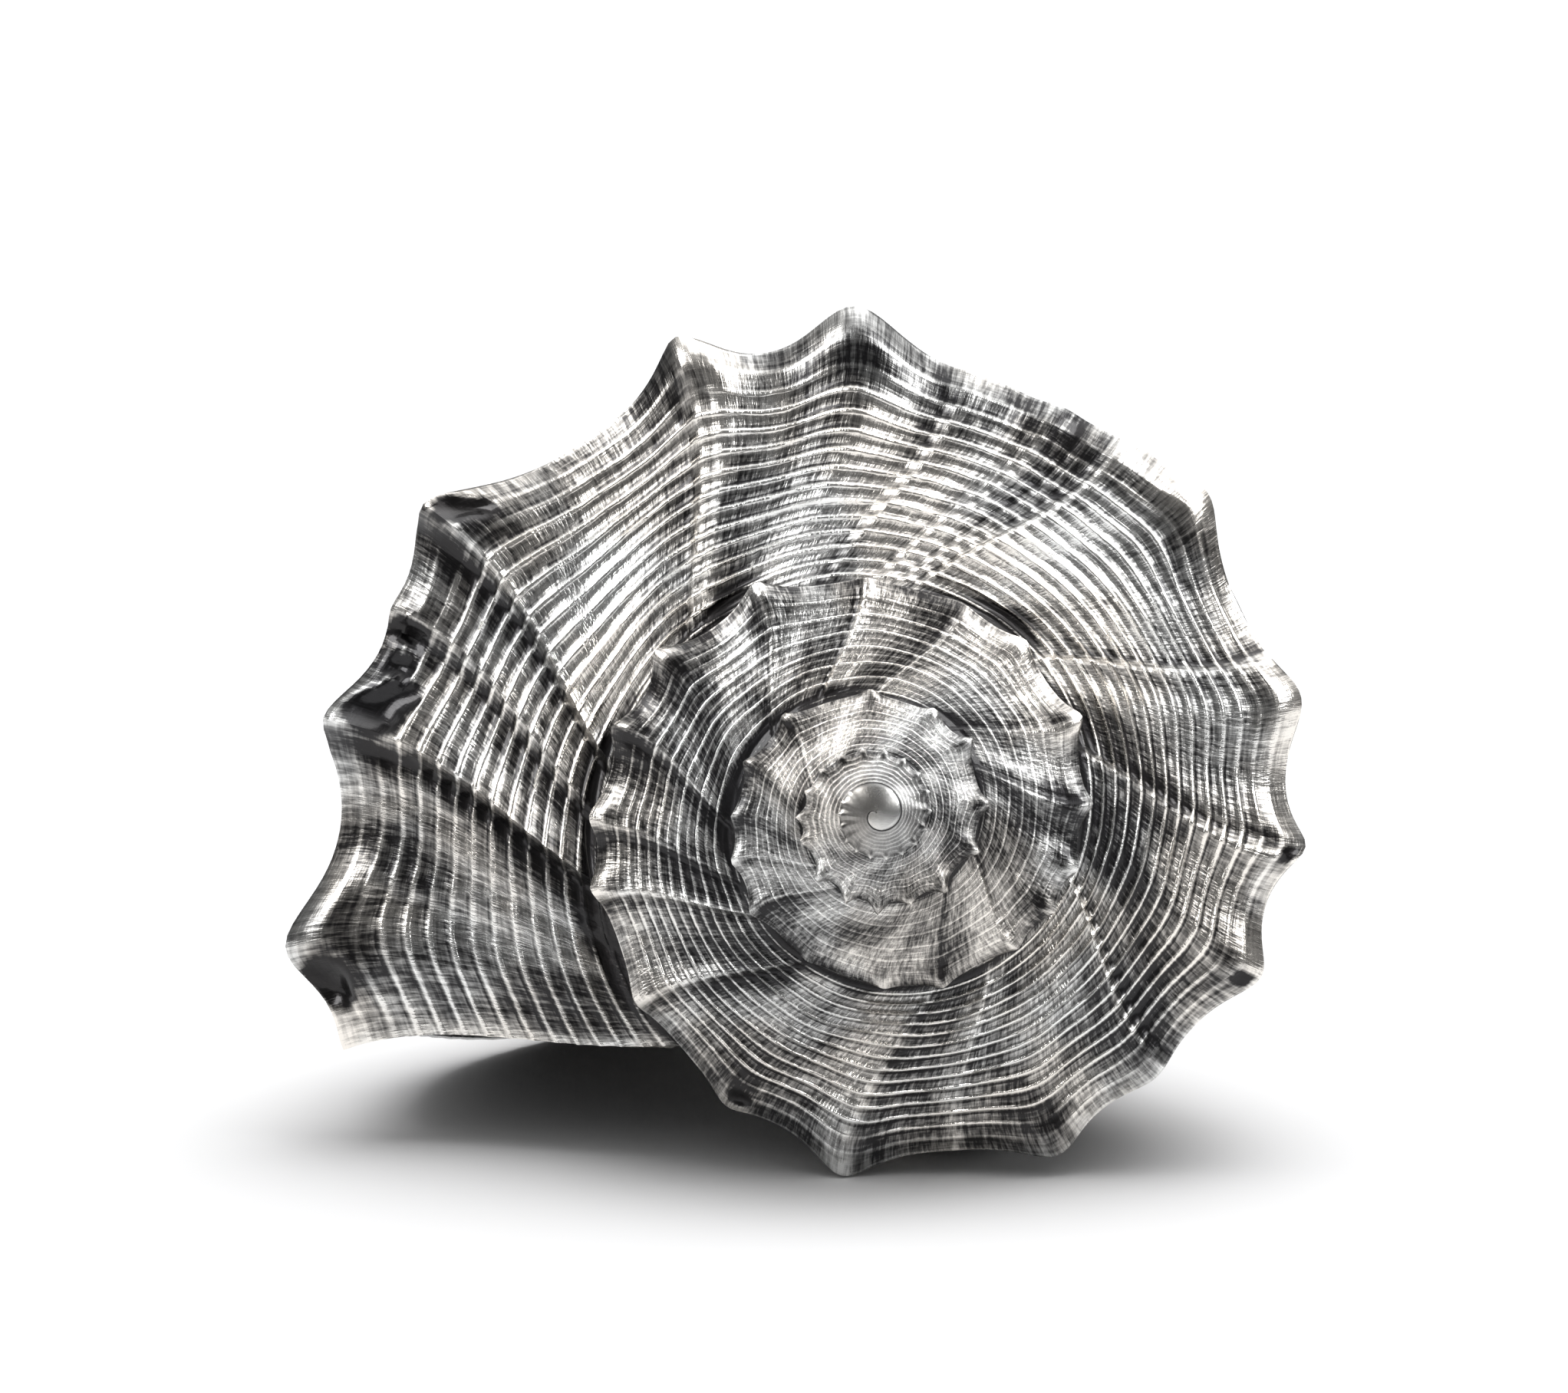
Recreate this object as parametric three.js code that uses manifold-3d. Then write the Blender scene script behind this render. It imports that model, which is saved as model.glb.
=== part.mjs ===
// Left-handed whelk shell, silver plated: a low knobbed spire, a wide body whorl and a long open canal.
// It lies on its aperture side. Millimetres, +Z up, spire towards -Y, origin under the middle of its box.
import * as THREE from 'three';
import { mergeVertices } from 'three/addons/utils/BufferGeometryUtils.js';
import Module from 'manifold-3d';

// Driving dimensions of the growth spiral, in the shell's own axes: apex at the origin, canal along -z.
const shoulderRadius = 54.2; // from the axis to the shoulder, between knobs, where the lip ends
const growthPerTurn = 2; // each whorl is this many times as large as the one before
const turnsGrown = 5.2; // from the first whorl to the lip
const lipAngle = 203; // degrees round the axis, seen from the apex, at the shoulder of the lip
const shellLength = 155; // apex to the tip of the canal
const shoulderDepth = 0.56; // depth of the shoulder below the apex, as a share of its radius
const sutureLead = 28; // degrees that a growth line's inner end runs ahead of its shoulder
const sutureRadius = 0.955; // the next whorl joins here, just under the shoulder
const sutureDepth = 0.645;
const bulgeDepth = 0.85; // the flank is widest here
const flankHalf = 1.1; // this much further down, the flank is half as wide
const flankLead = 18.5; // degrees that a growth line runs ahead again on its way down the flank
const flankLeadFrom = 0.95; // between these depths
const flankLeadTo = 2.45;
const flankSpread = 1.35; // crowds the flank's rows towards the shoulder
const canalRadius = 8.2; // at the tip
const wallAtLip = 1.5;
const wallInside = 2.6;
// The gutter down the canal: height, distance of its middle from the axis, half width inside,
// half width at the mouth.
const gutterStations = [
  [-92, 13.5, 3.4, 3],
  [-104, 11.5, 4.2, 3.8],
  [-116, 8.6, 4.6, 3.9],
  [-134, 5.6, 4.4, 3.4],
  [-162, 4, 4.2, 3.2],
];

// The knobs, outermost first: degrees round the axis, and reach past the shoulder as a share of its radius.
const knobs = [
  [203, 0.05], [192, 0.133], [170, 0.09], [157, 0.04], [146, 0.126], [114, 0.13], [94, 0.14],
  [82, 0.05], [46, 0.1], [17, 0.09], [-3, 0.11], [-22, 0.106], [-43, 0.05],
  [-62, 0.095], [-96, 0.116], [-118, 0.06], [-143, 0.05],
  [-166, 0.067], [-180, 0.07], [-198, 0.08], [-216, 0.109], [-241, 0.098], [-266, 0.03], [-290, 0.03],
  [-309, 0.065], [-333, 0.1], [-356, 0.083], [-374, 0.075], [-388, 0.074], [-403, 0.06], [-429, 0.067],
  [-448, 0.04], [-476, 0.03], [-502, 0.084], [-522, 0.073], [-539, 0.054], [-561, 0.078], [-586, 0.075],
  [-626, 0.05], [-658, 0.06], [-681, 0.1], [-714, 0.1], [-740, 0.11], [-768, 0.12], [-789, 0.08],
  [-809, 0.15], [-829, 0.13], [-852, 0.14], [-879, 0.1], [-897, 0.11],
];
const innerKnobSpacing = 20; // degrees, for the small knobs nearer the apex
const innerKnobReach = 0.08;
const innermostKnob = -1300;
const knobHalfWidth = 4.2; // degrees
for (let angle = -917; angle > innermostKnob; angle -= innerKnobSpacing) {
  knobs.push([angle, innerKnobReach]);
}

// How the shell lies: the axis tilts up towards the apex.
const axisTilt = 10.5;
const apexPlace = new THREE.Vector3(9.1, -76.95, 36.3);

// Mesh steps.
const columnsPerTurn = 90;
const columnStep = 360 / columnsPerTurn;
const leadColumns = Math.round(sutureLead / columnStep);
const lastColumn = Math.round(turnsGrown * columnsPerTurn);
const firstFlankColumn = lastColumn + leadColumns - columnsPerTurn;
const rampRows = 5;
const flankRows = 12;

const radians = THREE.MathUtils.degToRad;
const lerp = THREE.MathUtils.lerp;

// Shoulder radius at a spiral angle. The first turn swells from nothing, which rounds the apex.
function radiusAt(angle) {
  const turnsFromStart = turnsGrown + (angle - lipAngle) / 360;
  const swell = Math.sin(Math.min(1, Math.max(0, turnsFromStart) / 0.7) * Math.PI / 2);
  return shoulderRadius * growthPerTurn ** ((angle - lipAngle) / 360) * swell;
}

// A column's angle at the shoulder, moved onto a knob where one is near.
function columnAngle(column) {
  const even = lipAngle + (column - lastColumn) * columnStep;
  const near = knobs.find(([angle]) => Math.abs(angle - even) <= columnStep / 2);
  return near ? near[0] : even;
}

// Sum of the knobs' reach at a spiral angle, pointed at each knob.
function knobReach(angle) {
  let reach = 0;
  for (const [at, size] of knobs) reach += size * Math.exp(-Math.abs(angle - at) / knobHalfWidth);
  return reach;
}

// A point of the shell's own axes from angle in degrees, radius and height.
const polar = (angle, radius, height) =>
  new THREE.Vector3(radius * Math.cos(radians(angle)), radius * Math.sin(radians(angle)), height);

// The ramp from the suture (t = 0) to the shoulder (t = 1), along the growth line of a column.
function rampPoint(angle, t) {
  const lead = sutureLead * (1 - t) ** 2;
  const radius = radiusAt(angle + lead);
  const channel = 0.03 * (t / 0.09) * Math.exp(1 - t / 0.09);
  const sag = 0.02 * Math.sin(Math.PI * t);
  const knob = knobReach(angle) * radius * (0.8 * t ** 7 + 0.2 * t ** 2);
  const out = lerp(sutureRadius / growthPerTurn, 1, t) * radius;
  const down = lerp(sutureDepth / growthPerTurn, shoulderDepth, t) + channel + sag;
  return { angle: angle + lead, radius: out + 0.9 * knob, height: -down * radius + 0.55 * knob };
}

// The suture under the shoulder of a column, where the next whorl joins.
function suturePoint(angle) {
  const radius = radiusAt(angle);
  return { angle, radius: sutureRadius * radius, height: -sutureDepth * radius };
}

// Outline of the flank: its radius as a share of the shoulder's, at a depth of the same measure.
function flankShare(depth) {
  if (depth < bulgeDepth) {
    return 1 - (1 - sutureRadius) * ((bulgeDepth - depth) / (bulgeDepth - sutureDepth)) ** 2;
  }
  return 0.02 + 0.98 / (1 + ((depth - bulgeDepth) / flankHalf) ** 2.8);
}

// How far a growth line runs ahead at a depth on the flank. It keeps the lip's edge near one plane.
const leadAt = (depth) => flankLead * THREE.MathUtils.smoothstep(depth, flankLeadFrom, flankLeadTo);

// The flank from the suture (share = 0) to the canal's tip (share = 1).
function flankPoint(angle, share) {
  const radius = radiusAt(angle);
  const top = -sutureDepth * radius;
  const height = lerp(top, -shellLength, share ** flankSpread);
  const body = radius * flankShare(-height / radius);
  const canal = canalRadius + 1.5 * (1 + height / shellLength) * share;
  const knob = 0.35 * knobReach(angle) * radius * Math.exp(-share * 14) * (1 - Math.exp(-share * 40));
  const out = (body ** 4 + canal ** 4) ** 0.25 + knob;
  return { angle: angle + leadAt(-height / radius), radius: out, height };
}

const place = (p) => polar(p.angle, p.radius, p.height);

// A solid from points and triangles; coinciding points are merged.
let wasm;
function solid(points, triangles) {
  const geometry = new THREE.BufferGeometry().setFromPoints(points);
  geometry.setIndex(triangles.flat());
  const merged = mergeVertices(geometry, 1e-4);
  const index = merged.index.array;
  const kept = [];
  for (let i = 0; i < index.length; i += 3) {
    const [a, b, c] = [index[i], index[i + 1], index[i + 2]];
    if (a !== b && b !== c && c !== a) kept.push(a, b, c);
  }
  return new wasm.Manifold(new wasm.Mesh({
    numProp: 3,
    vertProperties: new Float32Array(merged.attributes.position.array),
    triVerts: new Uint32Array(kept),
  }));
}

// The outside, closed over the aperture.
function outside() {
  const points = [];
  const triangles = [];
  const keep = (p) => points.push(p) - 1;
  const quad = (a, b, c, d) => triangles.push([a, b, c], [a, c, d]);
  const apex = keep(new THREE.Vector3());
  const ramp = []; // per column: suture, ramp, shoulder, and the suture below it
  const flank = [];
  for (let column = 0; column <= lastColumn; column++) {
    const angle = columnAngle(column);
    const paired = column + leadColumns - columnsPerTurn;
    const turnsBack = (lastColumn - column) / columnsPerTurn;
    const rows = turnsBack < 1 ? rampRows : turnsBack < 2 ? 4 : turnsBack < 3.2 ? 3 : 2;
    const line = [paired < 0 ? apex : ramp[paired].at(-1)];
    for (let row = 1; row <= rampRows; row++) {
      const coarse = Math.min(1, Math.ceil(row * rows / rampRows) / rows);
      line.push(keep(place(rampPoint(angle, coarse))));
    }
    line.push(keep(place(suturePoint(angle))));
    ramp.push(line);
    if (column < firstFlankColumn) continue;
    const down = [line.at(-1)];
    for (let row = 1; row <= flankRows; row++) down.push(keep(place(flankPoint(angle, row / flankRows))));
    flank[column] = down;
  }
  for (let column = 1; column <= lastColumn; column++) {
    const [a, b] = [ramp[column - 1], ramp[column]];
    for (let row = 1; row < a.length; row++) quad(a[row - 1], a[row], b[row], b[row - 1]);
  }
  for (let column = firstFlankColumn + 1; column <= lastColumn; column++) {
    const [a, b] = [flank[column - 1], flank[column]];
    for (let row = 1; row < a.length; row++) quad(a[row - 1], a[row], b[row], b[row - 1]);
  }
  // Across the aperture, from the lip's edge to the first line of the flank.
  const lip = [...ramp[lastColumn], ...flank[lastColumn].slice(1)];
  const inner = flank[firstFlankColumn];
  let [i, j] = [0, 0];
  while (i < lip.length - 1 || j < inner.length - 1) {
    const lipNext = i < lip.length - 1 ? points[lip[i + 1]].z : -Infinity;
    const innerNext = j < inner.length - 1 ? points[inner[j + 1]].z : -Infinity;
    if (lipNext >= innerNext) {
      triangles.push([lip[i], lip[i + 1], inner[j]]);
      i++;
    } else {
      triangles.push([lip[i], inner[j + 1], inner[j]]);
      j++;
    }
  }
  // The canal's end.
  const tip = keep(new THREE.Vector3(0, 0, -shellLength));
  for (let column = firstFlankColumn + 1; column <= lastColumn; column++) {
    triangles.push([flank[column - 1].at(-1), tip, flank[column].at(-1)]);
  }
  triangles.push([lip.at(-1), tip, inner.at(-1)]);
  return solid(points, triangles);
}

// A closed solid through rings of equally many points.
function loft(rings) {
  const points = rings.flat();
  const size = rings[0].length;
  const triangles = [];
  for (let ring = 1; ring < rings.length; ring++) {
    for (let k = 0; k < size; k++) {
      const [a, b] = [(ring - 1) * size, ring * size];
      const next = (k + 1) % size;
      triangles.push([a + k, b + k, b + next], [a + k, b + next, a + next]);
    }
  }
  for (const [start, ahead] of [[0, 1], [(rings.length - 1) * size, -1]]) {
    const middle = new THREE.Vector3();
    for (let k = 0; k < size; k++) middle.add(points[start + k]);
    const centre = points.push(middle.divideScalar(size)) - 1;
    for (let k = 0; k < size; k++) {
      const next = (k + 1) % size;
      if (ahead > 0) triangles.push([centre, start + k, start + next]);
      else triangles.push([centre, start + next, start + k]);
    }
  }
  const made = solid(points, triangles);
  return made.volume() > 0 ? made : solid(points, triangles.map(([a, b, c]) => [a, c, b]));
}

// One ring of the chamber: under the ramp and shoulder, down inside the flank, back up the columella.
function chamberRing(angle) {
  const radius = radiusAt(angle);
  const inFront = Math.min(1, Math.max(0, (lipAngle - angle) / 60));
  const wall = lerp(wallAtLip, wallInside, inFront) * radius / shoulderRadius;
  const outer = [];
  for (const t of [0.1, 0.3, 0.5, 0.7, 0.88]) outer.push(rampPoint(angle, t));
  outer.push({ angle, radius: 0.985 * radius, height: -(shoulderDepth + 0.02) * radius });
  const floor = -2.3 * radius;
  const top = -sutureDepth * radius;
  const downRows = 7;
  for (let k = 1; k <= downRows; k++) {
    const height = lerp(top, floor, k / downRows);
    const depth = -height / radius;
    outer.push({ angle: angle + leadAt(depth), radius: radius * flankShare(depth), height });
  }
  const ring = outer.map((p, k) => {
    const before = outer[Math.max(0, k - 1)];
    const after = outer[Math.min(outer.length - 1, k + 1)];
    const along = new THREE.Vector2(after.radius - before.radius, after.height - before.height).normalize();
    return polar(p.angle, p.radius + along.y * wall, p.height - along.x * wall);
  });
  // The columella side is the flank of the whorl before, with a thin glaze over it.
  const before = radiusAt(angle + sutureLead) / growthPerTurn;
  const glaze = 0.01 * radius;
  const columella = 0.17 * radius;
  const upRows = 7;
  for (let k = 0; k <= upRows; k++) {
    const height = lerp(floor, -sutureDepth * before - 1.8 * wall, k / upRows);
    const body = before * flankShare(-height / before);
    const ahead = sutureLead + leadAt(-height / before);
    ring.push(polar(angle + ahead, (body ** 4 + columella ** 4) ** 0.25 + glaze, height));
  }
  return ring;
}

function chamber() {
  const rings = [];
  for (let angle = lipAngle + 40; angle >= lipAngle - 300; angle -= 10) rings.push(chamberRing(angle));
  return loft(rings);
}

// The open gutter down the canal.
function gutter() {
  const rings = [];
  for (const [height, centre, half, mouth] of gutterStations) {
    const facing = radians(lipAngle + sutureLead / 2 + leadAt(-height / shoulderRadius));
    const ring = [[28, -mouth], [28, mouth]];
    for (let k = 0; k <= 6; k++) {
      const turn = Math.PI * (0.5 + k / 6);
      ring.push([centre + half * Math.cos(turn), half * Math.sin(turn)]);
    }
    rings.push(ring.map(([along, across]) => new THREE.Vector3(
      along * Math.cos(facing) - across * Math.sin(facing),
      along * Math.sin(facing) + across * Math.cos(facing),
      height,
    )));
  }
  return loft(rings);
}

wasm = await Module();
wasm.setup();
const carved = outside().subtract(chamber()).subtract(gutter()).getMesh();
const geometry = new THREE.BufferGeometry();
geometry.setAttribute('position', new THREE.BufferAttribute(new Float32Array(carved.vertProperties), 3));
geometry.setIndex(new THREE.BufferAttribute(new Uint32Array(carved.triVerts), 1));

const silver = new THREE.MeshStandardMaterial({ color: 0xa8a6a2, roughness: 0.32, metalness: 1 });
const shell = new THREE.Mesh(geometry, silver);
shell.name = 'shell';
// From the shell's axes to the part's: the apex faces -Y and rises by the tilt.
shell.rotation.x = radians(90 - axisTilt);
shell.position.copy(apexPlace);

const whelk = new THREE.Group();
whelk.add(shell);
export default whelk;
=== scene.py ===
import math

import bmesh
import bpy
import numpy as np
from mathutils import Matrix, Vector


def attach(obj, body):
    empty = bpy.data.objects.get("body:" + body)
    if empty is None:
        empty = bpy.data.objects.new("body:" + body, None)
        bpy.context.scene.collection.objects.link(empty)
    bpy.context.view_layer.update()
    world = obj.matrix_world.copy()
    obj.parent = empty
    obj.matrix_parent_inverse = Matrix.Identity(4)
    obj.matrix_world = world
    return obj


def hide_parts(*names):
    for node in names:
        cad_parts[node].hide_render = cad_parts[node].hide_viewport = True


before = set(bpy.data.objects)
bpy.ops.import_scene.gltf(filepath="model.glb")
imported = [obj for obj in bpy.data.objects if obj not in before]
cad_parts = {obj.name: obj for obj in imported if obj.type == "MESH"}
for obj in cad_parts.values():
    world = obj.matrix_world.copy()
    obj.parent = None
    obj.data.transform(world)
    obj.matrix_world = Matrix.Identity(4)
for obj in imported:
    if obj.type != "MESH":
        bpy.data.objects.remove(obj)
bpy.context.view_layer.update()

# The growth spiral, in millimetres and degrees, in the shell's own axes: apex at the origin, canal along -z.
spiral = {
    "shoulderRadius": 54.2,  # between knobs, at the lip
    "growthPerTurn": 2.0,
    "turns": 5.2,
    "tipTurns": 0.7,  # over these the radius grows from nothing
    "lipAngle": 203.0,
    "length": 155.0,
    # these depths and radii are shares of the whorl's own shoulder radius
    "shoulderDepth": 0.56,
    "sutureRadius": 0.955,
    "sutureDepth": 0.645,
    "bulgeDepth": 0.85,
    "flankHalf": 1.1,  # depth past the bulge where the flank is half as wide
    "flankPower": 2.8,
    "flankLeast": 0.02,
    "flankLeadFrom": 0.95,
    "flankLeadTo": 2.45,
    # and these are degrees, millimetres and a plain power
    "sutureLead": 28.0,  # how far a growth line runs ahead at the suture
    "flankLead": 18.5,  # and at the canal
    "flankSpread": 1.35,
    "canalRadius": 8.2,
    "canalWidens": 1.5,
    "tilt": 10.5,  # of the axis, apex down
    "apex": (9.1, -76.95, 36.3),  # in the part's frame
}
millimetre = 0.001

# Knobs, outermost first: degrees round the axis, reach past the shoulder, and how blunt they are in degrees.
knobs = [
    (203, 0.05, 1.5), (192, 0.14, 3.4), (170, 0.105, 3.4), (157, 0.04, 2.0), (146, 0.135, 4.4),
    (114, 0.135, 2.4), (94, 0.15, 5.0), (78, 0.022, 4.0), (67, 0.03, 5.0), (56, 0.045, 5.0), (46, 0.1, 3.6),
    (17, 0.1, 4.4), (-3, 0.105, 1.8), (-22, 0.108, 3.4), (-43, 0.05, 4.0), (-62, 0.105, 4.6),
    (-96, 0.12, 4.4), (-118, 0.06, 3.0), (-143, 0.05, 2.0), (-166, 0.067, 1.2), (-180, 0.07, 1.4),
    (-198, 0.08, 1.3), (-216, 0.109, 1.5), (-241, 0.098, 2.6), (-266, 0.03, 3.0), (-290, 0.03, 2.0),
    (-309, 0.065, 1.6), (-333, 0.1, 1.8), (-356, 0.083, 1.3), (-374, 0.075, 1.2), (-388, 0.074, 1.2),
    (-403, 0.06, 1.2), (-429, 0.067, 1.4), (-448, 0.04, 1.4), (-476, 0.03, 1.4), (-502, 0.084, 1.8),
    (-522, 0.073, 1.4), (-539, 0.054, 1.2), (-561, 0.078, 1.2), (-586, 0.075, 1.6), (-626, 0.05, 1.6),
    (-658, 0.06, 1.4), (-681, 0.1, 1.6), (-714, 0.1, 1.6), (-740, 0.11, 1.4), (-768, 0.12, 1.4),
    (-789, 0.08, 1.2), (-809, 0.15, 1.4), (-829, 0.13, 1.2), (-852, 0.14, 1.4), (-879, 0.1, 1.2),
    (-897, 0.11, 1.2),
]
knobs += [(at, 0.08, 1.2) for at in range(-917, -1300, -20)]

# Edges where growth stopped for a while: degrees at the shoulder, and height.
ledges = [
    (171, 0.022), (158, 0.01), (147, 0.022), (115, 0.013), (112, 0.009), (81, 0.006), (69, 0.007),
    (63, 0.008), (59, 0.012), (24, 0.016), (-4, 0.015), (-40, 0.012), (-76, 0.009), (-95, 0.007),
    (-141, 0.014), (-163, 0.016), (-177, 0.013), (-198, 0.014), (-240, 0.01), (-265, 0.02), (-291, 0.009),
    (-333, 0.008), (-356, 0.01), (-403, 0.008), (-429, 0.008), (-502, 0.01), (-522, 0.01), (-539, 0.01),
    (-561, 0.012), (-586, 0.012),
]

# Hollow or chipped knobs: degrees, cord, half widths in degrees and in cords, depth as a share of the radius
dents = [
    (195.6, 15.3, 1.7, 0.6, 0.03), (197.6, 15.4, 1.2, 0.5, 0.024), (168.0, 14.5, 2.1, 1.0, 0.034),
    (165.2, 14.0, 1.3, 0.8, 0.018), (158.4, 15.0, 1.1, 0.7, 0.03), (162.6, 14.8, 1.0, 0.6, 0.026),
    (144.4, 15.3, 1.5, 0.5, 0.03), (142.6, 14.9, 0.9, 0.4, 0.02), (-4.4, 15.5, 0.9, 0.3, 0.014),
    (-23.6, 15.4, 1.1, 0.4, 0.02), (-116.6, 15.2, 1.8, 0.4, 0.02),
]

# Heights and depths are shares of the whorl's own shoulder radius, and a share of the ramp runs from the
# suture (0) to the shoulder (1). Widths and places round the shell are in degrees.
relief = {
    "cords": 16,  # across the ramp
    "rowsPerCord": (0, 0.12, 0.3, 0.5, 0.7, 0.88),  # where the mesh rows lie between one cord and the next
    "underRows": 8,
    "underCords": 4,  # how many cords' width the growth coordinates give to the shoulder's underside
    "underBend": (0.72, 0.3),  # how far out and up from the suture the edge of the shoulder bends
    "flankRows": 60,
    "weldDistance": 2e-7,  # in metres: a seam's corners coincide, and those round the tip lie close together
    "cordSpread": 1.1,  # opens the cords' spacing towards the shoulder
    "cordHeight": 0.004,
    "cordWidth": 0.13,
    "cordSwell": 0.0017,
    "cordWander": 0.22,
    "roughCords": 16,  # how much the rough zones vary the cords' height
    "lowCords": (12.3, 15.5),  # the cords get lower from the first of these to the second
    "slope": (0.42, 0.91),  # outwards and upwards, square to the ramp
    "knobHalfWidth": 4.2,
    "swellingWidth": 7.5,
    "swelling": 0.62,  # height of the broad swelling as a share of its knob's reach
    "knobOut": 0.9,  # how much of a knob's reach shows sideways
    "knobLift": 0.66,  # rise of a knob's tip as a share of its reach
    "knobSpoon": 0.12,  # and how deep the bare hollow behind it is
    "knobDroop": 0.42,  # and how far its edge comes down again
    "edgeFrom": 0.87,  # share of the ramp where the shoulder starts to round
    "edgeRound": 0.016,
    "fold": 0.013,  # broad folds along the growth lines
    "foldWidth": 7.0,
    "nucleus": 3.3,  # the tip is rounded inside this radius, in millimetres
    "nucleusFloor": -9,  # and above this height
    "sag": 0.02,
    "sutureChannel": 0.052,
    "channelAt": 0.1,  # share of the ramp where the channel is deepest
    "seam": 0.35,  # how deep the seam between the whorls is, and how black its painted shade, from 0 to 1
    "olderSeam": 0.25,  # and how much more before the last whorl
    "lipBow": 1.3,  # degrees that the middle of the lip stands forward
    "lipBowOver": 12,  # degrees behind the lip where it begins
    "ledgeHeight": 1.8,  # every height in the table of ledges is multiplied by this
    "ledgeOld": 3.2,  # degrees of rise before the edge
    "ledgeYoung": 6.0,  # and of the foot beyond it
    "ledgeFoot": 0.6,
    "ledgeSharp": 0.6,
    # the painted highlight along a ledge's edge, and the painted shade at its foot and how far it reaches in
    # degrees
    "ledgeShine": 36,
    "ledgeDark": 30,
    "ledgeDarkOver": 2.4,
    "wrinkle": 0.0012,
    "wrinkleSizes": ((3.1, 6, 0.6, 11), (1.9, 4, 0.5, 12), (6, 2.2, 0.4, 13)),  # degrees, cords, share, seed
    "roughZones": ((181, 9, 0.003), (68, 13, 0.0036), (-270, 12, 0.0025)),  # degrees, half width, height
    "fullFlank": ((20, 55, 0.035),),  # where the flank stands out further: degrees, half width, share
    "flankCord": 0.004,
    "flankCorded": 0.1,
    "flankKnob": 0.35,  # how much of a knob's reach is left just below it
    "canalTip": 0.93,  # share of the flank where the canal's tip starts to round
    "sharpAngle": 65,  # shading is smooth across edges less steep than this
}

# Turns from the tip over which each feature comes in, or goes where the larger number is first.
stages = {
    "suture": (0.4, 1.4),
    "sag": (0.8, 1.8),
    "knobs": (0.9, 1.25),
    "cords": (1.0, 1.9),
    "channel": (1.8, 3.2),
    "wrinkles": (2.0, 4.0),
    "blackSeam": (2.2, 3.4),
    "largeKnobs": (3.3, 2.8),
    "raisedKnobs": (4.3, 3.3),
    "lowCords": (4.2, 3.2),
    "alternateCords": (4.4, 4.0),
    "duskyCords": (4.5, 3.2),
    "brightRims": (4.5, 4.0),
    "olderSeam": (4.6, 4.2),
}

# How bright or dark the plate is at each feature, from 0 to 1: wear and tarnish, and painted highlights and
# painted shade.
wearAndPaintedLight = {
    "crest": 0.9,
    # painted highlight along the ledges' edges
    "ledgeEdge": 0.8,
    "lip": 0.8,
    # the rim and the knobs' tips: worn bright, with a painted highlight
    "rim": 0.1,
    "olderRim": 0.3,
    "knobRim": 0.6,
    # painted shade at the ledges' feet, in the seam of the first whorls and between the knobs
    "ledgeShade": 0.8,
    "firstSeam": 0.7,
    "betweenKnobs": 0.4,
    # tarnish in the hollow behind each knob's tip
    "behindKnob": 0.17,
    # painted shade in the knobs' hollows and on the shoulder's underside
    "inDent": 0.95,
    "underShoulder": 0.6,
    "flankCrest": 0.12,
    # painted highlight along the ledges' edges on the flank
    "flankEdge": 0.5,
}

# Bright and dark areas, partly the plate's tarnish and partly painted light and shade, as on the brightened
# tip: degrees and how wide, cord and how wide, and how much brighter
plateToneAndPaintedLight = [
    (85, 62, 8, 30, 0.15), (134, 15, 9, 9, 0.36), (120, 45, 16, 1.2, -0.1), (176, 30, 9, 9, 0.02),
    (192, 12, 11, 6, -0.08), (194, 9, 15, 2.5, -0.16), (60, 14, 15.5, 2.0, -0.2), (100, 10, 11, 7, -0.1),
    (46, 25, 7, 9, 0.34), (-24, 17, 9, 9, -0.2), (-85, 25, 12, 6, 0.07), (-740, 50, 8, 12, -0.12),
    (-190, 26, 6, 9, -0.14), (-230, 14, 10, 8, 0.1), (-310, 26, 9, 8, 0.14), (158, 8, 15.5, 2.5, -0.25),
    (-700, 300, 8, 12, 0.08), (-365, 20, 8, 9, -0.1), (-640, 60, 8, 12, 0.12), (-1560, 260, 8, 40, 0.46),
]

# Where the seam between the whorls is deep and painted black with shade: degrees and how wide, and how much
# more than elsewhere
deepSeams = [
    (104, 12, 0.75), (38, 12, 0.75), (3, 9, 0.5), (152, 20, 0.75), (182, 12, 0.7), (-232, 22, 0.5),
    (-196, 16, 0.5), (-330, 14, 0.4), (-268, 12, 0.4), (-560, 20, 0.4), (-700, 60, 0.4),
]

# Where the cords nearly vanish: degrees and how wide, and how much of them is lost
faintCords = [(185, 30, 0.36), (64, 10, 0.3), (-450, 55, 0.55), (-350, 30, 0.35), (-820, 60, 0.4)]


def turnsAt(angle):
    return spiral["turns"] + (angle - spiral["lipAngle"]) / 360


def radiusAt(angle):
    swell = np.sin(np.clip(turnsAt(angle) / spiral["tipTurns"], 0, 1) * math.pi / 2)
    return spiral["shoulderRadius"] * spiral["growthPerTurn"] ** ((angle - spiral["lipAngle"]) / 360) * swell


def smoothStep(low, high, value):
    share = np.clip((value - low) / (high - low), 0, 1)
    return share * share * (3 - 2 * share)


def stage(name, turns):
    return smoothStep(*stages[name], turns)


def softNoise(x, y, seed):
    # smooth value noise from -1 to 1, with the usual hash made from a sine
    x, y = np.broadcast_arrays(np.asarray(x, float), np.asarray(y, float))
    left, low = np.floor(x), np.floor(y)
    right, up = smoothStep(0, 1, x - left), smoothStep(0, 1, y - low)

    def corner(i, j):
        wave = np.sin((left + i) * 127.1 + (low + j) * 311.7 + seed * 74.7) * 43758.5453
        return wave - np.floor(wave)

    near = corner(0, 0) * (1 - right) + corner(1, 0) * right
    far = corner(0, 1) * (1 - right) + corner(1, 1) * right
    return (near * (1 - up) + far * up) * 2 - 1


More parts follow.
